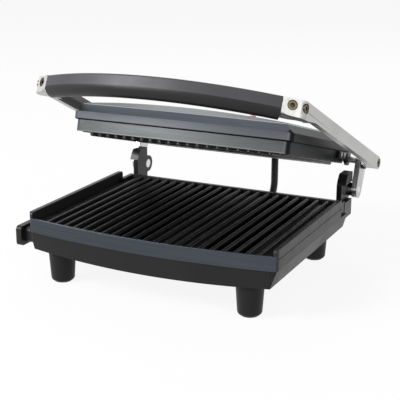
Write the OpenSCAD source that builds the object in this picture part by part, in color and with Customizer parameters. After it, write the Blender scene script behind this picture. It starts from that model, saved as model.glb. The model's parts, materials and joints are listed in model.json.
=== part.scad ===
// Panini press with a floating hinge: ribbed lower plate in a bowed base on four feet, ribbed
// lid carried by two arms, a bowed grip bar, and two swinging links on posts at the back.
// Millimetres, +Z up, front towards -Y. The origin is the bottom centre of the bounding box.

/* [Base] */
// Width over the side walls
base_w = 310; // [296:1:324]
// Depth from the front corners to the back of the lower housing
base_depth = 240; // [232:1:252]
// How far the front bows out past its corners
front_bow = 14.2; // [9:0.1:20]
// Radius of the front corners, seen from above
corner_r = 7; // [5:0.5:10]
// Height of the housing's lower edge above the table
underside_z = 38.6; // [34:0.1:44]
// How much lower the housing's edge dips in the middle of the front
apron_dip = 3.4; // [1:0.1:4.4]
// How much narrower each side of the housing is at its lower edge
side_draft = 6.5; // [3:0.1:7]
// Height of the lower housing
housing_h = 19.9; // [18.6:0.1:24]
// Height of the frame, from the seam to the front rim
frame_h = 16.8; // [15:0.1:20]
// How far the side walls rise above the front rim
wall_rise = 6.5; // [3:0.1:9]
// Wall thickness of the lower housing
housing_wall = 3; // [2:0.1:4]
// Wall thickness of the frame
frame_wall = 5; // [4:0.1:6]
// Width of the ledge in the frame that carries the plate
ledge_w = 4; // [3:0.1:6]
// Thickness of the brushed strip on the front
trim_t = 3; // [2:0.1:3.6]
// Thickness of the sheet metal under the base
bottom_t = 1.5; // [1:0.1:2]

/* [Cooking plates] */
// Thickness of the lower plate between its ribs
plate_t = 4; // [3:0.1:5]
// Height of a rib on the lower plate
rib_h = 4; // [3:0.1:4.6]
// Width of a rib
rib_w = 5.2; // [4:0.1:6.4]
// Distance between ribs on the lower plate
rib_pitch = 13.16; // [11:0.01:16]
// Distance between ribs on the upper plate
upper_rib_pitch = 11.9; // [10.5:0.01:15]
// Height of a rib on the upper plate
upper_rib_h = 3.6; // [2.6:0.1:4.2]
// How far the upper plate stands out below its frame, ribs included
upper_plate_drop = 8.3; // [6:0.1:9]
// Diameter of the tubular heating elements
element_d = 6; // [5:0.1:6.4]

/* [Feet] */
// Distance from the base's sides in to the middles of the feet
foot_side_in = 36; // [33:0.5:43]
// Distance from the front corners back to the middles of the front feet
foot_front_in = 14.5; // [14:0.5:20]
// Distance from the back of the housing forward to the middles of the back feet
foot_back_in = 22.5; // [20:0.5:30]
// Diameter of a foot at its top
foot_top_d = 32; // [28:0.2:32.4]
// Diameter of a foot near the table
foot_bottom_d = 27.6; // [24:0.2:28]
// Radius of a foot's lower edge
foot_edge_r = 4.4; // [3:0.1:6]
// Thickness of the rubber pad in a foot
pad_t = 3; // [2:0.1:4]

/* [Drip tray] */
// Depth of the drip tray, front to back
tray_d = 38; // [30:0.5:44]
// Length of the drip tray inside the base
tray_l = 118; // [90:1:140]
// Height of the drip tray
tray_h = 11; // [8:0.1:11.4]
// Wall thickness of the drip tray
tray_wall = 1.5; // [1:0.1:2]
// How far the tray's pull stands out past the base's side wall
pull_reach = 21; // [16:0.5:22]
// Height of the pull
pull_h = 24; // [18:0.5:26]

/* [Hinge] */
// How far the posts' inner faces stand in from the base's sides
post_in = 15.5; // [15.2:0.1:15.8]
// Width of a post across the press
post_w = 11.5; // [10:0.1:11.6]
// Depth of a post, front to back
post_d = 27; // [24:0.5:30]
// Height of the posts above the lower hinge pin
post_rise = 23.5; // [21:0.5:25.5]
// Thickness of a post's lug that holds the lower hinge pin
lug_t = 6.5; // [5:0.1:7.5]
// Radial room between the posts' rounded tops and the shaft's neck that swings over them
post_gap_r = 0.5; // [0.35:0.05:1]
// Distance from the back of the housing to the lower hinge pin
hinge_back = 23.5; // [22:0.1:26]
// Height of the lower hinge pin above the front rim
hinge_rise = 6.2; // [5.6:0.1:8]
// Distance between the two pins of a link
link_l = 36.25; // [35.6:0.05:38]
// How far a link leans back from upright when the press stands open
link_lean = 24.4; // [22:0.1:27]
// Thickness of a link
link_t = 7; // [5:0.1:7.4]
// Radius of a link round its lower pin
link_low_r = 10.5; // [9.8:0.1:11]
// Radius of a link round its upper pin
link_top_r = 13; // [12:0.1:13.4]
// Diameter of the chromed spacer on the lower pin
spacer_d = 18; // [15:0.1:18.6]
// Diameter of the lower hinge pin
hinge_pin_d = 8; // [6:0.1:9]
// Diameter of the upper shaft that the arms are clamped on
shaft_d = 11; // [9.6:0.1:11.6]
// Diameter of the shaft's neck between the lid and the link
neck_d = 8; // [6.6:0.1:8.2]
// Radial running clearance of the hinge pins and bushes
run_gap = 0.05; // [0.03:0.01:0.08]

/* [Lid] */
// How far the lid's front is tipped up when the press stands open
open_tilt = 15.5; // [10:0.1:18]
// Room at each side between the lid and the posts
lid_play = 0.8; // [0.6:0.1:3]
// How much shorter than the base the lid is, from the upper shaft to its front corners
lid_short = 28; // [26:0.5:34]
// How far the lid's front bows out past its corners
lid_bow = 14; // [9:0.1:18]
// How far the lid reaches back past the upper shaft
lid_tail = 12; // [9:0.1:12.4]
// Height of the skirt round the upper plate
skirt_h = 9.9; // [8.8:0.1:11]
// How far the skirt reaches down past its frame, round the upper plate
skirt_lip = 3.8; // [2:0.1:4.4]
// Height of the flange between the skirt and the cover
flange_h = 9; // [8:0.1:11]
// Height of the cover above the flange at its front corners
crown_base_h = 9.7; // [8:0.1:12]
// How far the cover's sides lean in above the flange
side_lean = 8.7; // [6:0.1:10]
// How far the cover's front leans back above the flange
front_lean = 5.2; // [3:0.1:7]
// How much the top panel arches up across the lid
side_crown = 5; // [3:0.1:7]
// Wall thickness of the lid's cover and skirt
lid_wall = 2.5; // [2:0.1:3]
// Thickness of the bright top panel
panel_t = 1.2; // [0.8:0.1:1.6]

/* [Arms and handle] */
// Upward angle of the arms from the plane of the lid
arm_lift = 9.7; // [7:0.1:11]
// How far the arms' end blocks reach past the lid's front corners
arm_ahead = 60.5; // [52:0.5:66]
// Height of an arm
arm_h = 15.2; // [13:0.1:16.4]
// Thickness of an arm
arm_t = 15.5; // [14.6:0.1:16.2]
// Room between a link and the arm beside it
arm_gap = 3.5; // [3:0.1:5]
// How much nearer the middle an arm is at its front end
arm_toe = 13; // [11:0.5:15]
// Width of the block at an arm's front end
block_w = 21; // [19:0.5:24]
// Width of the chamfer on the outer front corner of that block
block_chamfer = 4.5; // [2:0.1:4.8]
// How far the block's rounded underside reaches below the arm
block_drop = 4; // [1:0.1:6]
// Width of the bevel along the inner lower edge of an arm
arm_bevel = 7.5; // [3:0.1:8.5]
// How far the grip bar bows forward from the blocks
grip_bow = 36; // [28:0.5:42]
// Depth of the grip, front to back
grip_d = 22; // [19:0.5:24]
// Height of the grip
grip_h = 23.5; // [21:0.5:26]
// Diameter of the steel bar inside the grip
core_d = 9; // [7:0.1:9.6]
// Diameter of the socket bolts' heads
bolt_head_d = 9.8; // [8.6:0.1:10.6]
// Diameter of the socket bolts' shanks
bolt_d = 6; // [5:0.1:6.6]

/* [Lead and small parts] */
// Diameter of the sheathed lead from the base to the lid
lead_d = 9.4; // [8:0.1:10]
// Distance of that lead from the middle of the press
lead_x = 40; // [34:0.5:60]
// Bend radius of that lead behind the base
lead_bend_r = 26; // [24:0.5:27]
// Bore for a mains lead in the cord bush
cord_bore_d = 7.6; // [6.4:0.1:8.4]
// Distance of the cord bush from the middle of the press
cord_x = 70; // [60:1:90]
// Diameter of the indicator lamp's lens
lamp_d = 8; // [6:0.1:10]
// Distance of the lamp in from the side of the top panel
lamp_in = 41; // [26:1:58]
// Distance of the lamp behind the lid's front corners
lamp_back = 7; // [5:0.5:20]
// Diameter of the small screws
screw_d = 3; // [2.4:0.1:3.4]

/* [Hidden] */
$fn = 48;

// Clearances
fit = 0.3;          // between pieces that are slid or dropped together
seat_gap = 0.1;     // under a round piece that lies on a flat one
sheet_t = 0.8;      // thickness of the two heat shields
panel_rim = 0.8;    // height of the top panel's rim at the lid's sides
skirt_low = -1.1;   // lower edge of the skirt, from the upper shaft
big_fn = 720;       // for the wide arcs of the fronts and crowns
heater_in = 75;     // from the base's sides in to the ends of the lower element's legs
upper_heater_in = 65;   // the same for the upper element, from the upper plate's sides
heater_share = 0.47;    // distance between an element's legs, as a share of its plate's depth
drain_in = 6;       // from the drip tray's end in to the drain hole
drain_d = 6;
foot_screw_l = 12;
housing_screw_l = 11;
fuse_l = 24;        // thermal fuse: body, its wires and its place behind the thermostat
fuse_d = 4;
fuse_wire_d = 1.2;
fuse_back = 25;
terminal_size = [40, 18, 13];
terminal_side = 14;     // from the cord bush to the terminal block's near end
terminal_ahead = 44;    // from the back of the housing to its front face
terminal_screw_d = 4.8;
groove = 0.8;       // width and depth of the seam line along the side walls
groove_drop = 11;   // how far that seam lies below the top of the side walls
over = 1;           // how far a cut runs past the face that it opens

// Heights
seam_z = underside_z + housing_h;
rim_z = seam_z + frame_h;
wall_z = rim_z + wall_rise;
plate_z = rim_z - 6.3;              // face of the lower plate between the ribs
deck_z = rim_z - 2;                 // top of the wall behind the lower plate
hinge_z = rim_z + hinge_rise;

// Places front to back
// lid's top above the shaft
lid_h = skirt_low + skirt_h + sheet_t + flange_h + crown_base_h + panel_rim + side_crown;
link_back = link_l * sin(link_lean);
lid_back = lid_tail * cos(open_tilt) + lid_h * sin(open_tilt);
whole_d = front_bow + base_depth + hinge_back + link_back + max(link_top_r, lid_back);
front_y = front_bow - whole_d / 2;  // the base's front corners
back_y = front_y + base_depth;      // back of the lower housing
hinge_y = back_y + hinge_back;
post_y = back_y - 6.5;              // front faces of the posts, and back of the frame
side_back_y = post_y - 22;          // where the side walls end
pivot_y = hinge_y + link_back;      // upper shaft with the press open
pivot_z = hinge_z + link_l * cos(link_lean);

// Places across the press
base_x = base_w / 2;
rear_x = base_x - 4.5;              // half width of the frame beside the links
post_x = base_x - post_in;          // inner faces of the posts
link_x = post_x + post_w + 1;       // inner faces of the links
link_out_x = link_x + link_t;
lid_x = post_x - lid_play;
skirt_x = lid_x - 3.6;
grid_x = skirt_x - 5;               // half width of the upper plate
arm_in_x = link_out_x + arm_gap;
arm_out_x = arm_in_x + arm_t;
front_x = arm_out_x - arm_toe;      // outer faces of the arms at their front ends

// Heights in the lid's own frame, from the upper shaft
flange_low = skirt_low + skirt_h + sheet_t;
flange_top = flange_low + flange_h;
crown_low = flange_top + crown_base_h;   // top of the cover at its front corners
grid_low = skirt_low - upper_plate_drop;
grid_face = grid_low + upper_rib_h;
lid_reach = base_depth - lid_short;     // from the upper shaft forward to the lid's front corners
lid_front = -lid_reach;
arm_l = lid_reach + arm_ahead;          // from the upper shaft to the front of the end blocks

// ---------------------------------------------------------------- outlines

// Outline with a bowed front. hw is its half width, fy and by are the y of its front corners
// and of its back, br is the radius at the back, and inset t moves every edge inwards.
module bowed_plan(hw, fy, by, bow, cr, br, t = 0) {
    front_r = (hw * hw + bow * bow) / (2 * bow);
    arc_y = fy - bow + front_r;
    cx = hw - cr;
    cy = arc_y - sqrt(pow(front_r - cr, 2) - cx * cx);
    rounded = t < cr;
    half = rounded ? cx * (front_r - t) / (front_r - cr) : hw - t;
    side_y = rounded ? cy : arc_y - sqrt(pow(front_r - t, 2) - pow(hw - t, 2));
    back_in = max(br, t);
    intersection() {
        translate([0, arc_y]) circle(r = front_r - t, $fn = big_fn);
        translate([-half, fy - bow]) square([2 * half, side_y + 30 - fy + bow]);
    }
    translate([t - hw, side_y]) square([2 * (hw - t), by - back_in - side_y]);
    translate([back_in - hw, side_y]) square([2 * (hw - back_in), by - t - side_y]);
    if (rounded) for (s = [-1, 1]) translate([s * cx, cy]) circle(r = cr - t, $fn = 64);
    if (br > t) for (s = [-1, 1]) translate([s * (hw - br), by - br]) circle(r = br - t);
}

// Outline of the frame round the lower plate: bowed front part and a narrower back part
module frame_plan(t = 0) {
    bowed_plan(base_x, front_y, side_back_y, front_bow, corner_r, 4, t);
    translate([t - rear_x, front_y + 20]) square([2 * (rear_x - t), post_y - t - front_y - 20]);
}

// Outline of the lower housing
module housing_plan(t = 0) {
    bowed_plan(base_x - 1, front_y + 1, back_y, front_bow, corner_r - 1, 8, t);
}

// Front view of the lower housing: sides drawn in, lower edge dipping in the middle.
// Its cavity, inset by t, is open at the top and the bottom.
module housing_view(t = 0) {
    lean = side_draft / housing_h;
    top = seam_z + over * sign(t);
    low = underside_z - (t > 0 ? 10 : 0);
    top_x = base_x - 1 - t + lean * (top - seam_z);
    low_x = top_x - lean * (top - low);
    steps = 10;
    edge = t > 0 ? [[low_x, low], [-low_x, low]]
        : [for (i = [-steps:steps]) [-low_x * i / steps, low - apron_dip * (1 - pow(i / steps, 2))]];
    polygon(concat([[-top_x, top], [top_x, top]], edge));
}

// Rounded rectangle from its centre
module round_rect(w, h, r) {
    square([w - 2 * r, h], center = true);
    square([w, h - 2 * r], center = true);
    for (x = [-1, 1], y = [-1, 1]) translate([x * (w / 2 - r), y * (h / 2 - r)]) circle(r = r, $fn = 32);
}

// Outline of a lid layer. hw is its half width, fy its front corners, by its back
module lid_plan(hw, fy, by, t = 0, cr = 9) {
    bowed_plan(hw, fy, by, lid_bow, cr, 3, t);
}

// ---------------------------------------------------------------- placing

// Turns a y-z profile into a slab from x0 to x1
module slab_x(x0, x1) {
    translate([x0, 0, 0]) rotate([90, 0, 90]) linear_extrude(x1 - x0) children();
}

// Cylinder along +X
module rod_x(x0, x1, r, y = 0, z = 0, sides = 48) {
    translate([x0, y, z]) rotate([0, 90, 0]) cylinder(r = r, h = x1 - x0, $fn = sides);
}

// Cylinder along +Y
module rod_y(y0, y1, r, x = 0, z = 0, sides = 48) {
    translate([x, y1, z]) rotate([90, 0, 0]) cylinder(r = r, h = y1 - y0, $fn = sides);
}

// Copies to the left by mirroring, for side = -1
module on_side(side) {
    if (side > 0) children();
    else mirror([1, 0, 0]) children();
}

// The lid's own frame: origin on the upper shaft, level when the press is shut
module lid_place() {
    translate([0, pivot_y, pivot_z]) rotate([-open_tilt, 0, 0]) children();
}

// The arms' own frame: bars run along -Y
module arm_place() {
    lid_place() rotate([-arm_lift, 0, 0]) children();
}

// ---------------------------------------------------------------- base

boss_r = 4.5;
boss_in = 3.6;                      // from the front wall to the middles of the front bosses
boss_at = [
    for (s = [-1, 1]) [s * 60, front_y - front_bow * (1 - pow(60 / base_x, 2)) + 1 + housing_wall + boss_in],
    for (s = [-1, 1], y = [front_y + 75, back_y - 39]) [s * (base_x - side_draft - housing_wall - 4.5), y]
];
foot_at = [
    for (y = [front_y + foot_front_in, back_y - foot_back_in], s = [-1, 1])
        [s * (base_x - foot_side_in), y]
];
tray_y = front_y + 6;               // front edge of the drip tray
tray_z = underside_z + bottom_t + 3.9;
tray_x = -(base_x - side_draft - housing_wall - 0.5);   // outer end of the tray's trough
post_low_z = seam_z - 8.5;          // the posts stand on this ledge of the housing
post_screw_z = [post_low_z + 4.2, seam_z + 3.3];
post_screw_x = post_x + post_w / 2;
upper_head_y = post_y - 9;          // undersides of the upper post screws' heads
lead_z = underside_z + 11.4;        // height at which both leads leave the base
lead_y = pivot_y - lead_bend_r;     // where the lead to the lid starts to bend up
cord_z = lead_z;

module base_housing() {
    color("#26272a") difference() {
        union() {
            difference() {
                intersection() {
                    translate([0, 0, underside_z - 10])
                        linear_extrude(seam_z - underside_z + 10) housing_plan();
                    rotate([90, 0, 0]) linear_extrude(2 * whole_d, center = true) housing_view();
                }
                difference() {
                    intersection() {
                        translate([0, 0, underside_z - 20])
                            linear_extrude(seam_z - underside_z + 20 + over) housing_plan(housing_wall);
                        rotate([90, 0, 0])
                            linear_extrude(2 * whole_d, center = true) housing_view(housing_wall);
                    }
                    // solid corners that the posts stand in
                    for (s = [-1, 1])
                        translate([s > 0 ? post_x - 3.5 : -base_x, post_y - 4, underside_z + bottom_t])
                        cube([base_x - post_x + 3.5, 20, 40]);
                    // screw bosses, each with a web to its wall
                    for (i = [0:5]) translate([boss_at[i][0], boss_at[i][1], underside_z + bottom_t]) {
                        cylinder(r = boss_r, h = housing_h - bottom_t - 3);
                        if (i < 2) translate([-1, -12, 0]) cube([2, 12, housing_h - bottom_t - 3]);
                        else translate([boss_at[i][0] > 0 ? 0 : -14, -1, 0])
                            cube([14, 2, housing_h - bottom_t - 3]);
                    }
                }
            }
        }
        for (p = boss_at) translate([p[0], p[1], 0]) cylinder(d = screw_d, h = seam_z - 6);
        // seats of the posts
        for (s = [-1, 1]) translate([s > 0 ? post_x - fit : -base_x - over, post_y - fit, post_low_z])
            cube([base_x + over - post_x + fit, 20, 40]);
        for (s = [-1, 1])
            rod_y(post_y - 10, post_y + 10, screw_d / 2 + 0.2, s * post_screw_x, post_screw_z[0]);
        // mouth of the drip tray, and the leads' outlets in the back wall
        translate([-base_x - 5, tray_y - 0.7, tray_z - 0.7]) cube([30, tray_d + 1.4, tray_h + 1.4]);
        rod_y(back_y - 10, back_y + 10, lead_d / 2 + 2, lead_x, lead_z);
        rod_y(back_y - 10, back_y + 10, cord_bore_d / 2 + 2.4, -cord_x, cord_z);
    }
}

module base_frame() {
    lip_z = seam_z + 4;
    wall_r = 4;
    wall_y = front_y + 1;           // the side walls rise just behind the front corners
    wall_l = side_back_y - wall_y;
    pocket_r = screw_d + 0.2;       // room round the heads of the upper post screws
    color("#1d1e20") difference() {
        union() {
            translate([0, 0, seam_z]) linear_extrude(deck_z - seam_z) frame_plan();
            // side walls with rounded ends
            intersection() {
                translate([0, 0, seam_z]) linear_extrude(60) difference() {
                    bowed_plan(base_x, front_y, side_back_y, front_bow, corner_r, 4);
                    frame_plan(frame_wall);
                    translate([frame_wall - base_x, -whole_d])
                        square([2 * (base_x - frame_wall), 2 * whole_d]);
                }
                slab_x(-base_x, base_x) {
                    translate([wall_y, seam_z]) square([wall_l, wall_z - wall_r - seam_z]);
                    translate([wall_y + wall_r, seam_z]) square([wall_l - 2 * wall_r, wall_z - seam_z]);
                    for (y = [wall_r, wall_l - wall_r])
                        translate([wall_y + y, wall_z - wall_r]) circle(r = wall_r);
                }
            }
            // lip over the back of the housing, between the posts
            translate([-post_x + fit, post_y - over, seam_z])
                cube([2 * (post_x - fit), back_y - post_y + over, lip_z - seam_z]);
        }
        // well of the plate, and the opening below its ledge
        translate([0, 0, plate_z - plate_t]) linear_extrude(60) frame_plan(frame_wall);
        translate([0, 0, seam_z - over]) linear_extrude(60) frame_plan(frame_wall + ledge_w);
        // seat of the brushed strip
        translate([0, 0, seam_z - over]) linear_extrude(rim_z - seam_z + over) difference() {
            trim_zone();
            frame_plan(trim_t);
        }
        for (s = [-1, 1]) {
            // upper post screws, with pockets for their heads that are open below
            rod_y(post_y - 12, post_y + 10, screw_d / 2 + 0.2, s * post_screw_x, post_screw_z[1]);
            translate([s * post_screw_x - pocket_r, upper_head_y - 12, seam_z - over])
                cube([2 * pocket_r, 12, post_screw_z[1] + pocket_r - seam_z + over]);
            // seam line along the side wall
            translate([s * base_x - groove, trim_end_y(), wall_z - groove_drop])
                cube([2 * groove, whole_d, groove]);
        }
    }
}

// The brushed strip wraps the front corners and ends here
function trim_end_y() = front_y + corner_r / 4;

// Everything in front of that, seen from above
module trim_zone() {
    translate([-base_x - over, front_y - front_bow - over])
        square([base_w + 2 * over, trim_end_y() - front_y + front_bow + over]);
}

module front_trim() {
    color("#56606a") translate([0, 0, seam_z]) linear_extrude(rim_z - seam_z) intersection() {
        difference() {
            frame_plan();
            frame_plan(trim_t);
        }
        trim_zone();
    }
}

module bottom_plate() {
    guide_y = [tray_y - fit - 1.2, tray_y + tray_d + fit];
    vent_pitch = 14;
    vent_l = 60;
    vent_back = 10.4;               // from the last slot's end to the back of the housing
    vents = floor((base_w - 160) / 2 / vent_pitch);     // slots on each side of the middle one
    color("#3a3b3d") difference() {
        union() {
            translate([0, 0, underside_z]) linear_extrude(bottom_t) difference() {
                bowed_plan(base_x - 1 - side_draft - housing_wall - fit, front_y + 1 + housing_wall + fit,
                    back_y - housing_wall - fit, front_bow, corner_r - 2, 5);
                for (s = [-1, 1]) translate([s * base_x - 25, post_y - 4 - fit]) square(50);
            }
            // guides of the drip tray
            for (y = guide_y) translate([tray_x + 2, y, underside_z]) cube([tray_l, 1.2, bottom_t + 9]);
        }
        for (p = concat(boss_at, foot_at)) translate([p[0], p[1], 0]) cylinder(d = screw_d + 0.4, h = seam_z);
        for (i = [-vents:vents])
            translate([(i - 0.2) * vent_pitch, back_y - vent_back - vent_l, underside_z - over])
            cube([0.4 * vent_pitch, vent_l, bottom_t + 2 * over]);
    }
}

module lower_plate() {
    count = floor((base_w - 2 * (frame_wall + fit) - 20) / rib_pitch);
    color("#17181a") difference() {
        union() {
            translate([0, 0, plate_z - plate_t]) linear_extrude(plate_t) frame_plan(frame_wall + fit);
            intersection() {
                translate([0, 0, plate_z - 0.5]) linear_extrude(20) frame_plan(frame_wall + 2.6);
                for (i = [0:count - 1]) translate([(i - (count - 1) / 2) * rib_pitch, 0, plate_z])
                    rotate([90, 0, 0]) linear_extrude(2 * whole_d, center = true) rib_section(rib_w, rib_h);
            }
        }
        // drain into the drip tray, in the channel beside the first rib
        translate([tray_x + drain_in, tray_y + tray_d / 2, plate_z - plate_t - over])
            cylinder(d = drain_d, h = plate_t + 20);
    }
}

// Rib with a rounded top, standing on y = 0
module rib_section(w, h) {
    translate([-w / 2, -0.5]) square([w, h - w / 2 + 0.5]);
    translate([0, h - w / 2]) circle(r = w / 2, $fn = 32);
}

// Tubular element: two legs joined by a round bend, with its cold ends turned down
module element(l, span, z, r = element_d / 2) {
    for (s = [-1, 1]) {
        rod_x(-l / 2, l / 2, r, s * span / 2, z, 32);
        translate([-l / 2, s * span / 2, z]) sphere(r = r, $fn = 32);
    }
    translate([l / 2, 0, z]) rotate([0, 0, -90]) rotate_extrude(angle = 180, $fn = 96)
        translate([span / 2, 0]) circle(r = r, $fn = 32);
}

heater_y = (front_y + post_y) / 2;

module lower_element() {
    color("#6b6258") translate([0, heater_y, 0])
        element(base_w - 2 * heater_in, heater_share * (post_y - front_y),
            plate_z - plate_t - seat_gap - element_d / 2);
}

module lower_reflector() {
    color("#b9bcbd") difference() {
        translate([0, 0, seam_z - sheet_t]) linear_extrude(sheet_t) frame_plan(frame_wall + 1.5);
        translate([0, heater_y, 0]) cylinder(r = thermostat_r + 1.5, h = 200);
        for (p = boss_at) translate([p[0], p[1], 0]) cylinder(r = boss_r + 1, h = 200);
        // grease passes through here
        translate([tray_x + drain_in, tray_y + tray_d / 2, 0]) cylinder(d = 2 * drain_d, h = 200);
        // clear of the housing's solid back corners
        for (s = [-1, 1]) translate([s * base_x - 25, post_y - 4 - fit, 0]) cube([50, 20, 200]);
    }
}

module drip_tray() {
    neck_y = tray_y + tray_d / 2;
    pull_z = tray_z + tray_h / 2 - 0.6;
    out_x = base_x + pull_reach;
    color("#1b1c1f") {
        difference() {
            union() {
                translate([tray_x, tray_y, tray_z]) cube([tray_l, tray_d, tray_h]);
                translate([-base_x - 1, tray_y, tray_z]) cube([base_x + tray_x + 1.5, tray_d, tray_h]);
            }
            translate([tray_x + tray_wall, tray_y + tray_wall, tray_z + tray_wall])
                cube([tray_l - 2 * tray_wall, tray_d - 2 * tray_wall, tray_h]);
        }
        // neck and pull
        slab_x(-out_x + 6, -base_x - 0.6) translate([neck_y, pull_z]) round_rect(tray_d - 10, pull_h - 6, 5);
        slab_x(-out_x, -out_x + 7) translate([neck_y, pull_z]) round_rect(tray_d + 4, pull_h, 5);
    }
}

// A foot with its centre on the origin, standing up from z = 0
module foot() {
    lift = pad_t * 0.27;            // the rubber stands out this far
    r0 = foot_bottom_d / 2;
    e = foot_edge_r;
    difference() {
        rotate_extrude($fn = 64) difference() {
            union() {
                polygon([[0, lift], [r0 - e, lift], [r0 - e, lift + e], [r0, lift + e],
                    [foot_top_d / 2, underside_z], [0, underside_z]]);
                intersection() {
                    translate([r0 - e, lift + e]) circle(r = e);
                    translate([0, lift]) square([r0, e]);
                }
            }
            translate([-over, -over]) square([pad_r() + 0.1 + over, pad_t + over]);
        }
        translate([0, 0, underside_z - 14]) cylinder(d = screw_d, h = 20);
    }
}

function pad_r() = foot_bottom_d / 2 - foot_edge_r + 0.6;

module place_foot(i) {
    translate([foot_at[i][0], foot_at[i][1], 0]) color("#1b1c1e") foot();
}
module foot_front_left() { place_foot(0); }
module foot_front_right() { place_foot(1); }
module foot_back_left() { place_foot(2); }
module foot_back_right() { place_foot(3); }

module foot_pads() {
    color("#101011") for (p = foot_at) translate([p[0], p[1], 0]) cylinder(r = pad_r(), h = pad_t);
}

// Screw along -Z: underside of the head at z = 0, head above, shank below
module screw(l, d = screw_d, head_h = 2) {
    translate([0, 0, -l]) cylinder(d = d - 0.1, h = l + 0.01, $fn = 32);
    difference() {
        cylinder(d = 2 * d, h = head_h, $fn = 32);
        for (a = [0, 90]) rotate([0, 0, a]) translate([-1.6, -0.4, head_h - 0.9]) cube([3.2, 0.8, 2]);
    }
}

module foot_screws() {
    color("silver") for (p = foot_at) translate([p[0], p[1], underside_z + bottom_t]) screw(foot_screw_l);
}

module housing_screws() {
    color("silver") for (p = boss_at)
        translate([p[0], p[1], underside_z]) mirror([0, 0, 1]) screw(housing_screw_l, head_h = 1.6);
}

// ---------------------------------------------------------------- hinge posts

module post(side) {
    lug_r = link_low_r + 0.5;
    color("#1a1b1d") on_side(side) difference() {
        union() {
            intersection() {
                slab_x(post_x, post_x + post_w) translate([post_y, post_low_z])
                    square([post_d, hinge_z + post_rise - post_low_z]);
                union() {
                    rod_x(post_x - over, post_x + post_w + over,
                        link_l - neck_d / 2 - post_gap_r, hinge_y, hinge_z, 192);
                    translate([post_x - over, post_y - over, post_low_z])
                        cube([post_w + 2 * over, post_d + 2 * over, hinge_z - post_low_z]);
                }
            }
            slab_x(post_x, post_x + lug_t) {
                translate([hinge_y, hinge_z]) circle(r = lug_r, $fn = 96);
                translate([hinge_y - 10, hinge_z - lug_r]) square([10, 2 * lug_r]);
            }
        }
        // room for the spacer beside the link, and the pin's bore with a seat for its head
        translate([post_x + lug_t, post_y - over, hinge_z - lug_r])
            cube([post_w, post_d + 2 * over, 2 * lug_r]);
        rod_x(post_x - over, post_x + lug_t + over, hinge_pin_d / 2, hinge_y, hinge_z);
        rod_x(post_x - over, post_x + 1.5, hinge_pin_d / 2 + 2, hinge_y, hinge_z);
        for (z = post_screw_z) rod_y(post_y - over, post_y + 12, screw_d / 2, post_screw_x, z);
    }
}
module post_left() { post(-1); }
module post_right() { post(1); }

module post_screws() {
    color("silver") for (s = [-1, 1]) {
        translate([s * post_screw_x, post_y - 4, post_screw_z[0]]) rotate([90, 0, 0]) screw(14);
        translate([s * post_screw_x, upper_head_y, post_screw_z[1]]) rotate([90, 0, 0]) screw(18);
    }
}

module hinge_spacer(side) {
    color("#d9dadb") on_side(side) difference() {
        rod_x(post_x + lug_t, link_x - run_gap, spacer_d / 2, hinge_y, hinge_z, 96);
        rod_x(post_x, link_x + over, hinge_pin_d / 2, hinge_y, hinge_z);
    }
}
module hinge_spacer_left() { hinge_spacer(-1); }
module hinge_spacer_right() { hinge_spacer(1); }

module hinge_pin(side) {
    color("#c9cacb") on_side(side) {
        rod_x(post_x + 0.2, post_x + 1.5, hinge_pin_d / 2 + 1.8, hinge_y, hinge_z);
        rod_x(post_x + 1, link_out_x, hinge_pin_d / 2, hinge_y, hinge_z);
    }
}
module hinge_pin_left() { hinge_pin(-1); }
module hinge_pin_right() { hinge_pin(1); }

// Side view of a link: two round ends and their common tangents
module link_view() {
    flare = asin((link_top_r - link_low_r) / link_l);
    rotate(-link_lean) {
        circle(r = link_low_r, $fn = 96);
        translate([0, link_l]) circle(r = link_top_r, $fn = 96);
        polygon([
            for (s = [-1, 1]) [s * link_low_r * cos(flare), -link_low_r * sin(flare)],
            for (s = [1, -1]) [s * link_top_r * cos(flare), link_l - link_top_r * sin(flare)]
        ]);
    }
}

bush_r = shaft_d / 2 + 2.5;

module link(side) {
    color("#c4c5c6") on_side(side) difference() {
        slab_x(link_x, link_out_x) translate([hinge_y, hinge_z]) link_view();
        rod_x(link_x - over, link_out_x + over, hinge_pin_d / 2 + run_gap, hinge_y, hinge_z);
        rod_x(link_x - over, link_out_x + over, bush_r + run_gap, pivot_y, pivot_z);
    }
}
module link_left() { link(-1); }
module link_right() { link(1); }

// Bush that the upper shaft turns in, with a flange outside the link
module pivot_bush(side) {
    color("#3c3d40") on_side(side) difference() {
        union() {
            rod_x(link_x, arm_in_x - 0.6, bush_r, pivot_y, pivot_z, 64);
            rod_x(link_out_x + 0.3, arm_in_x - 0.6, bush_r + 1.5, pivot_y, pivot_z, 64);
        }
        rod_x(link_x - 2, arm_in_x + over, shaft_d / 2 + run_gap, pivot_y, pivot_z);
    }
}
module pivot_bush_left() { pivot_bush(-1); }
module pivot_bush_right() { pivot_bush(1); }

// ---------------------------------------------------------------- inside the base

thermostat_r = 8;

module thermostat() {
    color("#c8b489") translate([0, heater_y, 0]) {
        translate([0, 0, plate_z - plate_t - 12]) cylinder(r = thermostat_r, h = 12);
        for (s = [-1, 1]) translate([s * 4 - 2.5, -0.4, plate_z - plate_t - 17]) cube([5, 0.8, 5.5]);
    }
}

module thermal_fuse() {
    z = plate_z - plate_t - seat_gap - fuse_d / 2;
    color("#d8d2c4") {
        rod_x(-fuse_l / 2, fuse_l / 2, fuse_d / 2, heater_y + fuse_back, z, 32);
        rod_x(-fuse_l, fuse_l, fuse_wire_d / 2, heater_y + fuse_back, z, 16);
    }
}

module terminal_block() {
    color("#e4e2da") difference() {
        translate([-cord_x + terminal_side, back_y - terminal_ahead, underside_z + bottom_t])
            cube(terminal_size);
        for (i = [0.5:2.5])
            translate([-cord_x + terminal_side + i * terminal_size[0] / 3,
                       back_y - terminal_ahead + terminal_size[1] / 2,
                       underside_z + bottom_t + terminal_size[2] / 2])
                cylinder(d = terminal_screw_d, h = terminal_size[2]);
    }
}

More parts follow.
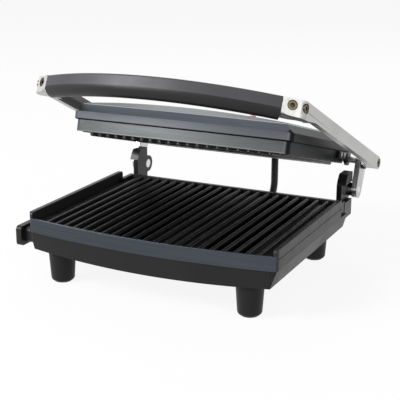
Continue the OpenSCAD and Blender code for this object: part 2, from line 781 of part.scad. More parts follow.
// Bush in the back wall: sleeve through the wall, flange outside and a tapered snout
module wall_bush(x, z, hole_r, sleeve_r, snout) {
    translate([x, back_y, z]) rotate([-90, 0, 0]) difference() {
        union() {
            translate([0, 0, -housing_wall - 2]) cylinder(r = sleeve_r, h = housing_wall + 3);
            cylinder(r = sleeve_r + 1.6, h = 1.6);
            translate([0, 0, 1.5]) cylinder(r1 = sleeve_r + 0.6, r2 = sleeve_r - 1, h = snout - 1.5);
            translate([0, 0, -housing_wall - 2]) cylinder(r = sleeve_r + 1.2, h = 1.8);
        }
        translate([0, 0, -20]) cylinder(r = hole_r, h = 60);
    }
}

module cord_bush() {
    color("#161618") wall_bush(-cord_x, cord_z, cord_bore_d / 2, cord_bore_d / 2 + 2.3, 9);
}

// The lead to the lid: straight out of its bush, round a bend, and up to the hinge line
module lid_lead() {
    r = lead_d / 2;
    color("#111113") translate([lead_x, 0, 0]) {
        translate([0, lead_y, lead_z]) rotate([90, 0, 0]) cylinder(r = r, h = lead_y - back_y + 6, $fn = 32);
        translate([0, lead_y, lead_z + lead_bend_r]) rotate([90, 0, 90]) rotate([0, 0, -90])
            rotate_extrude(angle = 90, $fn = 96) translate([lead_bend_r, 0]) circle(r = r, $fn = 32);
        translate([0, pivot_y, lead_z + lead_bend_r])
            cylinder(r = r, h = pivot_z - 1 - lead_z - lead_bend_r, $fn = 32);
    }
}

module lead_bush_base() {
    color("#161618") wall_bush(lead_x, lead_z, lead_d / 2 + 0.1, lead_d / 2 + 1.9, 5);
}

// ---------------------------------------------------------------- lid

skirt_t = 1.2;                      // thickness of the brushed strip round the skirt
skirt_front = lid_front + 1.5;
grid_front = lid_front + 7.4;
skirt_tail = lid_tail - 0.7;
grid_tail = skirt_tail - 5;
notch_w = lead_d + 5;               // room for the lead at the back of the lid

// Room for the lead, from below and from behind, up to its bush
module lead_notch(top) {
    translate([lead_x - notch_w / 2, -notch_w / 2 - 3, grid_low - over])
        cube([notch_w, 60, top - grid_low + over]);
}

lip_low = skirt_low - skirt_lip;
lip_back = 14;          // the lip ends this far ahead of the upper shaft

// Lip of the skirt, seen from above
module lip_plan() {
    difference() {
        lid_plan(skirt_x, skirt_front, skirt_tail);
        lid_plan(skirt_x, skirt_front, skirt_tail, lid_wall);
        translate([-skirt_x - over, -lip_back]) square([2 * (skirt_x + over), 2 * lid_tail + lip_back]);
    }
}

module lid_frame() {
    ledge = 4;
    color("#1c1d1f") lid_place() difference() {
        union() {
            translate([0, 0, skirt_low])
                linear_extrude(skirt_h) lid_plan(skirt_x, skirt_front, skirt_tail);
            translate([0, 0, lip_low]) linear_extrude(skirt_lip + over) lip_plan();
        }
        translate([0, 0, skirt_low - over])
            linear_extrude(40) lid_plan(skirt_x, skirt_front, skirt_tail, lid_wall + ledge);
        // seat of the brushed skirt strip
        translate([0, 0, lip_low - over]) linear_extrude(40) difference() {
            skirt_zone();
            lid_plan(skirt_x, skirt_front, skirt_tail, skirt_t);
        }
        lead_notch(6.5);
        rod_x(-skirt_x - over, skirt_x + over, neck_d / 2 + fit, 0, 0);
        for (s = [-1, 1], y = bracket_screw_y)
            on_side(s) rod_x(skirt_x - 9, skirt_x + over, screw_d / 2, y, bracket_screw_z);
    }
}

module skirt_trim() {
    color("#7b8084") lid_place() translate([0, 0, lip_low])
        linear_extrude(skirt_lip + skirt_h) intersection() {
            difference() {
                lid_plan(skirt_x, skirt_front, skirt_tail);
                lid_plan(skirt_x, skirt_front, skirt_tail, skirt_t);
            }
            skirt_zone();
        }
}

// The skirt strip lies in front of this line, seen from above
module skirt_zone() {
    translate([-skirt_x - over, lid_front - 30]) square([2 * (skirt_x + over), 40.5]);
}

cover_x = lid_x - 1.6;              // half width of the cover just above the flange
cover_front = lid_front + 1.2;
flange_arc_r = (cover_x * cover_x + lid_bow * lid_bow) / (2 * lid_bow);

// Flange and leaning upper part of the cover
module cover_body(t = 0) {
    low = flange_low - over * sign(t);
    wide = cover_x - t;
    narrow = cover_x - side_lean - t;
    h = crown_base_h - t;
    run = front_lean / crown_base_h;
    translate([0, 0, low])
        linear_extrude(flange_low + flange_h - t - low) lid_plan(lid_x, lid_front, lid_tail, t);
    intersection() {
        translate([0, 0, low])
            linear_extrude(crown_low - t - low) lid_plan(cover_x, cover_front, lid_tail, t, 11);
        rotate([90, 0, 0]) linear_extrude(3 * lid_reach, center = true) polygon([
            [-wide, low - over], [wide, low - over], [wide, flange_top], [narrow, crown_low],
            [-narrow, crown_low], [-wide, flange_top]]);
        translate([0, cover_front - lid_bow + flange_arc_r, low - over]) union() {
            cylinder(r = flange_arc_r - t, h = flange_top - low + over, $fn = big_fn);
            translate([0, 0, flange_top - low + over])
                cylinder(r1 = flange_arc_r - t, r2 = flange_arc_r - t - front_lean,
                    h = crown_base_h, $fn = big_fn);
        }
    }
}

module lid_cover() {
    color("#6c737b") lid_place() difference() {
        cover_body();
        cover_body(lid_wall);
        lamp_at() cylinder(r = lamp_d / 2 - 0.9, h = 60, center = true);
    }
}

// Crowned body standing on the cover, t inside the panel's outer face
module panel_body(t = 0) {
    hw = cover_x - side_lean - 0.4;
    side_r = (hw * hw + side_crown * side_crown) / (2 * side_crown);
    intersection() {
        translate([0, 0, crown_low - over * sign(t)]) linear_extrude(30)
            bowed_plan(hw, cover_front + front_lean + 0.4, lid_tail, lid_bow - 0.6, 4, 1, t);
        translate([0, 0, crown_low + panel_rim + side_crown - side_r]) rotate([90, 0, 0])
            cylinder(r = side_r - t, h = 3 * lid_reach, center = true, $fn = 2 * big_fn);
    }
}

module top_panel() {
    color("#d2d4d6") lid_place() difference() {
        panel_body();
        panel_body(panel_t);
        lamp_at() cylinder(r = lamp_d / 2 - 0.9, h = 60, center = true);
    }
}

module upper_plate() {
    count = floor((2 * grid_x - 16) / upper_rib_pitch);
    color("#151618") lid_place() difference() {
        union() {
            translate([0, 0, grid_face])
                linear_extrude(skirt_low - grid_face) lid_plan(grid_x, grid_front, grid_tail, 0, 8);
            intersection() {
                translate([0, 0, grid_low - 1])
                    linear_extrude(upper_rib_h + 1.5) lid_plan(grid_x, grid_front, grid_tail, 1.2, 8);
                for (i = [0:count - 1]) translate([(i - (count - 1) / 2) * upper_rib_pitch, 0, grid_face])
                    rotate([-90, 0, 0])
                        linear_extrude(3 * lid_reach, center = true) rib_section(rib_w, upper_rib_h);
            }
        }
        lead_notch(40);
    }
}

module upper_element() {
    color("#6b6258") lid_place() translate([0, (lid_front + lid_tail) / 2, 0])
        element(2 * (grid_x - upper_heater_in), heater_share * (lid_tail - lid_front),
            skirt_low + seat_gap + element_d / 2);
}

module upper_reflector() {
    low = skirt_low + skirt_h;
    color("#b9bcbd") lid_place() difference() {
        translate([0, 0, low]) linear_extrude(sheet_t) lid_plan(lid_x, lid_front, lid_tail, lid_wall - 1);
        translate([-20, (lid_front + lid_tail) / 2, 0]) cylinder(r = thermostat_r, h = 60);
        lead_notch(40);
    }
}

module upper_cutout() {
    color("#c8b489") lid_place() translate([-20, (lid_front + lid_tail) / 2, skirt_low]) {
        cylinder(r = thermostat_r - 1.5, h = 9);
        for (s = [-1, 1]) translate([s * 3.6 - 2, -0.4, 8.5]) cube([4, 0.8, 5]);
    }
}

module lead_bush_lid() {
    color("#161618") lid_place() translate([lead_x, 0, 0]) difference() {
        translate([-notch_w / 2 + fit, -notch_w / 2 + fit, -0.4])
            cube([notch_w - 2 * fit, notch_w - 2 * fit, 6.5 + 0.4 - fit]);
        translate([0, 0, -over - 1]) cylinder(r = lead_d / 2 + 0.8, h = 3.2);
    }
}

bracket_screw_y = [-30, -18];
bracket_screw_z = 4.4;
bracket_reach = 36;

module lid_bracket(side) {
    boss_x = post_x - fit;
    color("#151517") lid_place() on_side(side) difference() {
        union() {
            slab_x(skirt_x, lid_x - 0.6)
                translate([-bracket_reach, skirt_low + 0.4])
                    square([bracket_reach + skirt_tail - 0.6, skirt_h - 0.8]);
            rod_x(skirt_x, boss_x, neck_d / 2 + 3.5, 0, 0, 64);
        }
        rod_x(skirt_x - over, boss_x + over, neck_d / 2, 0, 0);
        for (y = bracket_screw_y) rod_x(skirt_x - over, lid_x, screw_d / 2 + 0.2, y, bracket_screw_z);
    }
}
module lid_bracket_left() { lid_bracket(-1); }
module lid_bracket_right() { lid_bracket(1); }

module lid_screws() {
    color("silver") lid_place() for (s = [-1, 1], y = bracket_screw_y)
        on_side(s) translate([lid_x - 0.6, y, bracket_screw_z]) rotate([0, 90, 0]) screw(10, head_h = 1.2);
}

// Shaft clamped in the bracket and in the arm, turning in the bush between them
module shaft(side) {
    end_x = arm_out_x - 7;
    color("#b5b6b8") lid_place() on_side(side) difference() {
        union() {
            rod_x(skirt_x - 4, link_x, neck_d / 2, 0, 0);
            rod_x(link_x - 0.3, end_x, shaft_d / 2, 0, 0);
        }
        rod_x(end_x - 12, end_x + over, bolt_d / 2, 0, 0);
    }
}
module shaft_left() { shaft(-1); }
module shaft_right() { shaft(1); }

// ---------------------------------------------------------------- arms and handle

grip_r = (pow(front_x - block_w, 2) + pow(grip_bow, 2)) / (2 * grip_bow);  // front face
grip_end = asin((front_x - block_w) / grip_r);
grip_centre = arm_l - grip_r * cos(grip_end);       // centre of the bow, forward of the shaft
core_r = grip_r - grip_d / 2;
splay = atan(arm_toe / (arm_l - 12));

// Point on an arc round the bow's centre, in arm coordinates (x, forward)
function bow_point(r, a) = [r * sin(a), -(grip_centre + r * cos(a))];

// Point that far from a on the way to b
function toward(a, b, far) = a + far * (b - a) / norm(b - a);

block_face = bow_point(grip_r, asin(front_x / grip_r));
block_angle = atan2(block_face[1] - bow_point(grip_r, grip_end)[1], front_x - bow_point(grip_r, grip_end)[0]);
bolt_share = 0.44;      // front bolt's place across the block, which leaves room for the chamfer
core_over = 0.8;        // degrees that the bar inside the grip runs on into each block
block_inner = bow_point(grip_r, grip_end);
front_bolt_at = block_inner + bolt_share * (block_face - block_inner);
side_bolt_y = -(arm_l - 17);
bar = arm_t / cos(splay);       // width of the arm across the press
block_back = 23;                // depth of the end block
head_sink = 0.6;
head_l = 3.4;

// The arm seen from above: a bar that runs in towards the front and ends in a block
module arm_plan() {
    inner_back = bow_point(grip_r - grip_d + 2, grip_end);
    outer_back = [arm_out_x + 20 * tan(splay), 20];
    polygon([block_inner,
        toward(block_face, block_inner, block_chamfer), toward(block_face, outer_back, block_chamfer),
        outer_back, outer_back - [bar, 0],
        [front_x - bar + 14 * tan(splay), inner_back[1] + 9], inner_back]);
}

// Underside of the block seen from the side: rounded in front, running out into the arm behind
module block_view() {
    polygon([
        for (a = [0:10:90]) [2 * block_drop * (1 - cos(a)) - arm_l, -arm_h / 2 - block_drop * sin(a)],
        [block_back - arm_l, -arm_h / 2 - block_drop], [2 * block_back - arm_l, -arm_h / 2],
        [2 * block_back - arm_l, 0], [-arm_l, 0]
    ]);
}

// Bevel along the inner lower edge of the arm
module arm_bevel_cut() {
    w = arm_bevel;
    translate([arm_out_x - bar, 0, -arm_h / 2]) rotate([0, 0, -splay]) translate([0, -20, 0])
        rotate([90, 0, 0]) linear_extrude(arm_l - 2 * block_back - 24)
            polygon([[-over, -over], [w + over, -over], [-over, w + over]]);
}

module arm(side) {
    h = arm_h / 2;
    color("#c8c9ca") arm_place() on_side(side) difference() {
        intersection() {
            translate([0, 0, -h - block_drop]) linear_extrude(arm_h + block_drop) arm_plan();
            slab_x(0, arm_out_x + 10) {
                circle(r = h, $fn = 96);
                translate([-arm_l - 20, -h]) square([arm_l + 20, arm_h]);
                block_view();
            }
        }
        arm_bevel_cut();
        // bore of the shaft and seat of its bolt
        rod_x(0, arm_out_x - 7, shaft_d / 2, 0, 0);
        rod_x(0, arm_out_x + 20, bolt_d / 2 + 0.2, 0, 0);
        rod_x(arm_out_x - 4 - head_sink, arm_out_x + 20, bolt_head_d / 2 + 0.5, 0, 0);
        // seats of the side bolt and the front bolt
        rod_x(front_x - head_l - head_sink, front_x + 20, bolt_head_d / 2 + 0.5, side_bolt_y, 0);
        rod_x(front_x - 12, front_x + 20, bolt_d / 2, side_bolt_y, 0);
        front_bolt_place() {
            translate([0, 0, -head_l - head_sink]) cylinder(d = bolt_head_d + 1, h = 20);
            translate([0, 0, -14]) cylinder(d = bolt_d, h = 30);
        }
        core_bar(core_d + 2 * fit, core_over + 0.2);
    }
}
module arm_left() { arm(-1); }
module arm_right() { arm(1); }

module front_bolt_place() {
    translate([front_bolt_at[0], front_bolt_at[1], 0])
        rotate([0, 0, block_angle]) rotate([90, 0, 0]) children();
}

// Bar of diameter d along the bow, a few degrees longer than the grip at each end
module core_bar(d, extra) {
    span = 2 * (grip_end + extra);
    translate([0, -grip_centre, 0]) rotate([0, 0, -90 - span / 2]) rotate_extrude(angle = span, $fn = 2 * 360)
        translate([core_r, 0]) circle(d = d, $fn = 32);
}

// Section of the grip: flat top and front, round belly
module grip_section() {
    d = grip_d;
    top = arm_h / 2;
    edge = 2.5;
    translate([0, top - grip_h + d / 2]) circle(r = d / 2, $fn = 96);
    translate([-d / 2, top - grip_h + d / 2]) square([d, grip_h - d / 2 - edge]);
    translate([-d / 2 + edge, top - grip_h + d / 2]) square([d - 2 * edge, grip_h - d / 2]);
    for (s = [-1, 1]) translate([s * (d / 2 - edge), top - edge]) circle(r = edge, $fn = 32);
}

module handle_grip() {
    a = grip_end - 0.06;
    color("#3a3a3e") arm_place() difference() {
        translate([0, -grip_centre, 0]) rotate([0, 0, -90 - a]) rotate_extrude(angle = 2 * a, $fn = 2 * 360)
            translate([core_r, 0]) grip_section();
        core_bar(core_d + 0.2, 1);
    }
}

module handle_core() {
    color("#8e9092") arm_place() core_bar(core_d, core_over);
}

// Socket bolt along -Z: top of the head at z = 0
module socket_bolt(l) {
    difference() {
        union() {
            translate([0, 0, -head_l]) cylinder(d = bolt_head_d, h = head_l);
            translate([0, 0, -l]) cylinder(d = bolt_d - 0.1, h = l - head_l + 0.01);
        }
        translate([0, 0, -2.2]) cylinder(d = bolt_head_d * 0.52, h = 5, $fn = 6);
    }
}

module front_bolts() {
    color("#8a857a") arm_place() for (s = [-1, 1])
        on_side(s) front_bolt_place() translate([0, 0, -head_sink]) socket_bolt(12);
}

module side_bolts() {
    color("#8a857a") arm_place() for (s = [-1, 1]) on_side(s)
        translate([front_x - head_sink, side_bolt_y, 0]) rotate([0, 90, 0]) socket_bolt(11);
}

module shaft_bolts() {
    color("#8a857a") arm_place() for (s = [-1, 1]) on_side(s)
        translate([arm_out_x - head_sink, 0, 0]) rotate([0, 90, 0]) socket_bolt(17);
}

// ---------------------------------------------------------------- lamp

module lamp_at() {
    hw = cover_x - side_lean - 0.4;
    side_r = (hw * hw + side_crown * side_crown) / (2 * side_crown);
    lamp_x = cover_x - side_lean - lamp_in;
    top_z = crown_low + panel_rim + side_crown - side_r + sqrt(side_r * side_r - lamp_x * lamp_x);
    translate([lamp_x, lid_front + lamp_back, top_z]) children();
}

module lamp_lens() {
    color("#c02020") lid_place() lamp_at() {
        translate([0, 0, 0.4]) cylinder(r1 = lamp_d / 2, r2 = lamp_d / 2 - 1.4, h = 2);
        translate([0, 0, -6]) cylinder(r = lamp_d / 2 - 1, h = 6.5);
    }
}

module lamp_holder() {
    color("#e0ded6") lid_place() lamp_at() translate([0, 0, -14]) cylinder(r = lamp_d / 2 - 0.5, h = 7.9);
}

base_housing();
base_frame();
front_trim();
bottom_plate();
lower_plate();
lower_element();
lower_reflector();
drip_tray();
foot_front_left();
foot_front_right();
foot_back_left();
foot_back_right();
foot_pads();
foot_screws();
housing_screws();
post_left();
post_right();
post_screws();
hinge_spacer_left();
hinge_spacer_right();
hinge_pin_left();
hinge_pin_right();
link_left();
link_right();
pivot_bush_left();
pivot_bush_right();
thermostat();
thermal_fuse();
terminal_block();
cord_bush();
lead_bush_base();
lid_lead();
lead_bush_lid();
lid_frame();
skirt_trim();
lid_cover();
top_panel();
upper_plate();
upper_element();
upper_reflector();
upper_cutout();
lid_bracket_left();
lid_bracket_right();
shaft_left();
shaft_right();
lid_screws();
arm_left();
arm_right();
handle_grip();
handle_core();
front_bolts();
side_bolts();
shaft_bolts();
lamp_lens();
lamp_holder();
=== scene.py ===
"""Dresses the panini press: softened edges, finishes, the sheathed lead and a plain studio."""

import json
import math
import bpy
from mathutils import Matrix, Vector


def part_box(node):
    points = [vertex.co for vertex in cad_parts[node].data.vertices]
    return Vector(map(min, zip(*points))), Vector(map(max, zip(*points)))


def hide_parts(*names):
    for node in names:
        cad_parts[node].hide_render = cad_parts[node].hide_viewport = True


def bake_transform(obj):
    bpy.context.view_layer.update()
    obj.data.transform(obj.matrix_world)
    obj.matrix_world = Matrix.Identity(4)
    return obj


bl_info = {
    "name": "Panini press",
    "version": (1, 0, 0),
    "blender": (4, 5, 0),
    "location": "View3D > Sidebar > Press",
    "description": "Finishes, softened edges and a plain studio for the panini press",
    "category": "Object",
}

import bpy
import bmesh
from bpy.props import FloatProperty, FloatVectorProperty, PointerProperty
from mathutils import Matrix, Vector

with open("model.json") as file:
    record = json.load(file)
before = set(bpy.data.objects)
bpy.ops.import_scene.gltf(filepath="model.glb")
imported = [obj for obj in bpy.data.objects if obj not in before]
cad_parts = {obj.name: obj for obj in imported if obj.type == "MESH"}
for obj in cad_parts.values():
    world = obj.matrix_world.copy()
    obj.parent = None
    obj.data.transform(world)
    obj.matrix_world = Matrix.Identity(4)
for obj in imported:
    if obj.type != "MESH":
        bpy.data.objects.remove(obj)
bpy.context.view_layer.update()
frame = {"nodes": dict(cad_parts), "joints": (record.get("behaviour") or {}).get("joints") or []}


# ---------------------------------------------------------------- measures taken from the frame

JOINT = {j["name"]: j for j in frame["joints"]}
PIVOT = Vector(JOINT["lid_tilt"]["pos_m"])       # upper shaft
HINGE = Vector(JOINT["link_swing"]["pos_m"])     # lower hinge pin
TILT = math.radians(15.5)                        # the lid's tilt as the press stands
ARM_LIFT = math.radians(9.7)                     # and the arms' angle above the lid
GRIP_BELLY = -0.0049                             # top of the grip's rounded underside, from the arms' middle
SIDES = ("left", "right")

# Heights in the lid's own frame, whose origin is the upper shaft
LIP_LOW = -0.0049        # lower edge of the skirt
FLANGE_LOW = 0.0096      # flange of the cover
FLANGE_TOP = 0.0186
CROWN_LOW = 0.0283       # where the cover turns in under the top panel

# Fronts of the plates: half the width and the depth of the bow
UPPER_BOW = (0.1301, 0.0140)
LOWER_BOW = (0.1550, 0.0142)
UPPER_CORNER_Y = -0.2046     # front corners of the upper plate, in the lid's frame
UPPER_RIB_PITCH = 0.0119
LOWER_RIB_PITCH = 0.01316
SHEATH_PITCH = 0.0021        # between the rings of the lead's sheath
LEAD_BEND = 0.026            # bend radius of the lead
FLOOR_HALF = 4.0


# ---------------------------------------------------------------- settings

def colour(name, text, rgb):
    return FloatVectorProperty(name=name, description=text, subtype="COLOR", size=3, min=0, max=1,
                               default=rgb)


def length(name, text, metres, low=0.0, high=0.1):
    return FloatProperty(name=name, description=text, subtype="DISTANCE", unit="LENGTH",
                         default=metres, min=low, max=high, precision=5)


class PressColours(bpy.types.PropertyGroup):
    """Colours of the press"""

    housing: colour("Housing", "Moulded shell of the base, tray and feet", (0.0135, 0.0130, 0.0140))
    frame: colour("Frame", "Painted frame round the lower plate", (0.0130, 0.0130, 0.0130))
    trim: colour("Trim", "Brushed strip round the front", (0.074, 0.083, 0.100))
    lid: colour("Lid", "Brushed cover and skirt of the lid", (0.098, 0.108, 0.128))
    panel: colour("Top panel", "Bright brushed panel on the lid", (0.43, 0.435, 0.445))
    coating: colour("Coating", "Non-stick coating of the plates", (0.0060, 0.0060, 0.0065))
    arms: colour("Arms", "Satin metal of the arms", (0.60, 0.60, 0.59))
    grip: colour("Grip", "Soft plastic of the grip", (0.062, 0.060, 0.066))
    bolts: colour("Bolts", "Burnished heads of the socket bolts", (0.115, 0.098, 0.062))
    lamp: colour("Lamp", "Tinted lens of the lamp", (0.66, 0.30, 0.31))


class PressSizes(bpy.types.PropertyGroup):
    """Sizes that only the look needs"""

    moulded_edge: length("Moulded edges", "Rounding of moulded edges", 0.0009)
    metal_edge: length("Metal edges", "Rounding of sheet and cast metal edges", 0.0005)
    fine_edge: length("Fine edges", "Rounding of screws and small fittings", 0.00015)
    sheath_rib: length("Sheath rib", "Height of the ribs on the lead's sheath", 0.00035)


def colours():
    return bpy.context.scene.press_colours


def sizes():
    return bpy.context.scene.press_sizes


# ---------------------------------------------------------------- materials

class Finish:
    """A Principled material that is built up in layers."""

    def __init__(self, name, rgb, roughness, metallic=0.0):
        self.material = bpy.data.materials.new(name)
        self.material.use_nodes = True
        self.tree = self.material.node_tree
        self.shader = self.tree.nodes["Principled BSDF"]
        self.rgb = (*rgb, 1.0)
        self.roughness = roughness
        self.set("Base Color", self.rgb)
        self.set("Roughness", roughness)
        self.set("Metallic", metallic)
        self.colour_out = None
        self.normal_out = None

    def set(self, socket, value):
        self.shader.inputs[socket].default_value = value

    def node(self, kind, **values):
        made = self.tree.nodes.new(kind)
        for key, value in values.items():
            setattr(made, key, value)
        return made

    def link(self, out, into):
        self.tree.links.new(out, into)

    def place(self, stretch=(1, 1, 1), tilt=0.0):
        """Object coordinates, stretched, or in a frame that is tilted about the upper shaft."""
        coords = self.node("ShaderNodeTexCoord")
        mapping = self.node("ShaderNodeMapping")
        mapping.inputs["Scale"].default_value = stretch
        if tilt:
            mapping.inputs["Rotation"].default_value = (tilt, 0, 0)
            mapping.inputs["Location"].default_value = -(Matrix.Rotation(tilt, 3, "X") @ PIVOT)
        self.link(coords.outputs["Object"], mapping.inputs["Vector"])
        return mapping.outputs["Vector"]

    def math(self, operation, one, two=None):
        """A math node; each operand is a socket or a number."""
        made = self.node("ShaderNodeMath", operation=operation)
        for socket, value in zip(made.inputs, (one, two)):
            if isinstance(value, (int, float)):
                socket.default_value = value
            elif value is not None:
                self.link(value, socket)
        return made.outputs[0]

    def coordinate(self, axis, tilt=0.0):
        """x, y or z of the point."""
        split = self.node("ShaderNodeSeparateXYZ")
        self.link(self.place(tilt=tilt), split.inputs[0])
        return split.outputs[axis]

    def between(self, value, low, high, soft=0.0002):
        """1 where the value lies between low and high."""
        up = self.spread(value, 0.0, 1.0, low - soft, low)
        down = self.spread(value, 1.0, 0.0, high, high + soft)
        return self.math("MULTIPLY", up, down)

    def repeat(self, value, pitch, half):
        """1 within half of each multiple of pitch."""
        return self.spread(self.math("PINGPONG", value, pitch / 2), 1.0, 0.0, half * 0.7, half)

    def beyond(self, centre_y, radius, soft, tilt=0.0):
        """1 where the distance in plan from (0, centre_y) is over radius."""
        flat = self.node("ShaderNodeVectorMath", operation="MULTIPLY")
        flat.inputs[1].default_value = (1, 1, 0)
        moved = self.node("ShaderNodeVectorMath", operation="SUBTRACT")
        moved.inputs[1].default_value = (0, centre_y, 0)
        away = self.node("ShaderNodeVectorMath", operation="LENGTH")
        self.link(self.place(tilt=tilt), moved.inputs[0])
        self.link(moved.outputs[0], flat.inputs[0])
        self.link(flat.outputs[0], away.inputs[0])
        return self.spread(away.outputs["Value"], 0.0, 1.0, radius - soft, radius)

    def facing(self, axis, start=0.45, end=0.7, sign=0):
        """1 where the surface faces along an axis; sign picks one way along it."""
        coords = self.node("ShaderNodeTexCoord")
        split = self.node("ShaderNodeSeparateXYZ")
        self.link(coords.outputs["Normal"], split.inputs[0])
        way = split.outputs[axis]
        out = self.math("MULTIPLY", way, sign) if sign else self.math("ABSOLUTE", way)
        return self.spread(out, 0.0, 1.0, start, end)

    def close_shade(self, rgb, far, amount=0.8):
        """Paints shade into places that other surfaces crowd."""
        crowd = self.node("ShaderNodeAmbientOcclusion", samples=6)
        crowd.inputs["Distance"].default_value = far
        return self.mix(self.spread(crowd.outputs["AO"], amount, 0.0, 0.25, 0.85), rgb)

    def gloss(self, level):
        self.set("Specular IOR Level", level)
        return self

    def noise(self, scale, detail=3.0, stretch=(1, 1, 1), roughness=0.5):
        made = self.node("ShaderNodeTexNoise")
        made.inputs["Scale"].default_value = scale
        made.inputs["Detail"].default_value = detail
        made.inputs["Roughness"].default_value = roughness
        self.link(self.place(stretch), made.inputs["Vector"])
        return made.outputs["Fac"]

    def spread(self, fac, low, high, start=0.3, end=0.7):
        """Maps a factor from start..end to low..high."""
        made = self.node("ShaderNodeMapRange")
        for socket, value in (("From Min", start), ("From Max", end), ("To Min", low), ("To Max", high)):
            made.inputs[socket].default_value = value
        self.link(fac, made.inputs["Value"])
        return made.outputs["Result"]

    def mix(self, fac, rgb):
        """Lays colour rgb over what is there, by a factor."""
        made = self.node("ShaderNodeMix", data_type="RGBA")
        if self.colour_out:
            self.link(self.colour_out, made.inputs[6])
        else:
            made.inputs[6].default_value = self.rgb
        made.inputs[7].default_value = (*rgb, 1.0)
        self.link(fac, made.inputs["Factor"])
        self.colour_out = made.outputs[2]
        self.link(self.colour_out, self.shader.inputs["Base Color"])
        return self

    def clouds(self, scale, amount, stretch=(1, 1, 1)):
        """Lighter and darker patches."""
        light = tuple(min(1.0, c * (1 + amount)) for c in self.rgb[:3])
        return self.mix(self.spread(self.noise(scale, 4.0, stretch), 0.0, 1.0), light)

    def rough_clouds(self, scale, amount, stretch=(1, 1, 1)):
        """Patches that are more and less rough."""
        out = self.spread(self.noise(scale, 4.0, stretch), self.roughness - amount, self.roughness + amount)
        self.link(out, self.shader.inputs["Roughness"])
        return self

    def bump(self, fac, depth, strength=1.0):
        """Adds relief of that depth in metres."""
        made = self.node("ShaderNodeBump")
        made.inputs["Strength"].default_value = strength
        made.inputs["Distance"].default_value = depth
        self.link(fac, made.inputs["Height"])
        if self.normal_out:
            self.link(self.normal_out, made.inputs["Normal"])
        self.normal_out = made.outputs["Normal"]
        self.link(self.normal_out, self.shader.inputs["Normal"])
        return self

    def grain(self, scale, depth, strength=0.5):
        """Fine moulded or blasted texture."""
        return self.bump(self.noise(scale, 2.0), depth, strength)

    def brushed(self, stretch, depth, rough=0.06, shade=0.25):
        """Fine strokes along the axis whose stretch is smallest."""
        strokes = self.noise(1.0, 5.0, stretch, 0.65)
        self.bump(strokes, depth, 0.6)
        out = self.spread(strokes, self.roughness - rough, self.roughness + rough)
        self.link(out, self.shader.inputs["Roughness"])
        dark = tuple(c * (1 - shade) for c in self.rgb[:3])
        return self.mix(self.spread(self.noise(0.7, 4.0, stretch), 0.0, 1.0, 0.35, 0.65), dark)

    def edge_wear_and_painted_light(self, rgb, amount, start=0.53, end=0.60):
        """Lays rgb over the sharpest convex places: worn coating on the plates' ribs, lighter edges that are
        partly wear and partly painted highlight on plastic, paint and metal, and painted dark edge
        reflections on the arms.
        """
        geometry = self.node("ShaderNodeNewGeometry")
        return self.mix(self.spread(geometry.outputs["Pointiness"], 0.0, amount, start, end), rgb)

    def shaded_creases(self, amount=0.5):
        """Paints shade into inner corners."""
        geometry = self.node("ShaderNodeNewGeometry")
        dark = tuple(c * (1 - amount) for c in self.rgb[:3])
        return self.mix(self.spread(geometry.outputs["Pointiness"], 1.0, 0.0, 0.42, 0.49), dark)

    def stripe(self, axis, centre, half, rgb):
        """A thin line of rgb at x, y or z = centre, and the same on the other side of the middle."""
        away = self.math("SUBTRACT", self.math("ABSOLUTE", self.coordinate(axis)), centre)
        gap = self.math("ABSOLUTE", away)
        return self.mix(self.spread(gap, 1.0, 0.0, half * 0.8, half), rgb)


def moulded_plastic(name, rgb, roughness=0.42, gloss=0.22):
    made = Finish(name, rgb, roughness)
    made.clouds(18.0, 0.25).rough_clouds(35.0, 0.05).grain(2600.0, 0.00006, 0.35)
    # Lighter sharp edges: partly rubbed wear, partly a painted edge highlight.
    made.edge_wear_and_painted_light(tuple(min(1.0, c * 2.0 + 0.008) for c in rgb), 0.35)
    return made.gloss(gloss)


def satin_paint(name, rgb, roughness=0.34, gloss=0.25):
    made = Finish(name, rgb, roughness)
    made.clouds(12.0, 0.2).rough_clouds(60.0, 0.04).grain(900.0, 0.00005, 0.25)
    # Lighter sharp edges: partly rubbed wear, partly a painted edge highlight.
    made.edge_wear_and_painted_light(tuple(min(1.0, c * 2.2 + 0.010) for c in rgb), 0.4)
    return made.gloss(gloss)


def brushed_metal(name, rgb, roughness, stretch, depth=0.00002, shade=0.25):
    made = Finish(name, rgb, roughness, 1.0)
    made.clouds(9.0, 0.08)
    made.brushed(stretch, depth, shade=shade)
    made.set("Anisotropic", 0.45)
    return made


def satin_metal(name, rgb, roughness=0.3):
    made = Finish(name, rgb, roughness, 1.0)
    made.clouds(14.0, -0.12).rough_clouds(40.0, 0.05).grain(1800.0, 0.00003, 0.3)
    # Lighter sharp edges: partly rubbed wear, partly a painted edge highlight.
    made.edge_wear_and_painted_light(tuple(min(1.0, c * 1.2) for c in rgb), 0.5)
    return made


def dress(node, finish):
    """Gives a frame node its material."""
    mesh = frame["nodes"][node].data
    mesh.materials.clear()
    mesh.materials.append(finish.material)


def soften(node, width, segments=2, angle=38.0):
    """Rounds the node's edges without touching its own mesh."""
    piece = frame["nodes"][node]
    for polygon in piece.data.polygons:
        polygon.use_smooth = True
    weld = piece.modifiers.new("weld", "WELD")
    weld.merge_threshold = 0.000002
    flat = piece.modifiers.new("flat", "DECIMATE")
    flat.decimate_type = "DISSOLVE"
    flat.angle_limit = math.radians(0.4)
    bevel = piece.modifiers.new("edges", "BEVEL")
    bevel.width = width
    bevel.segments = segments
    bevel.limit_method = "ANGLE"
    bevel.angle_limit = math.radians(angle)
    bevel.use_clamp_overlap = True
    bevel.miter_outer = "MITER_ARC"
    normals = piece.modifiers.new("normals", "WEIGHTED_NORMAL")
    normals.weight = 60
    normals.keep_sharp = False


def finish_all(nodes, finish, edge=None, segments=2):
    """Gives several nodes one finish, with rounded edges where edge is given."""
    for node in nodes:
        dress(node, finish)
        if edge:
            soften(node, edge, segments)


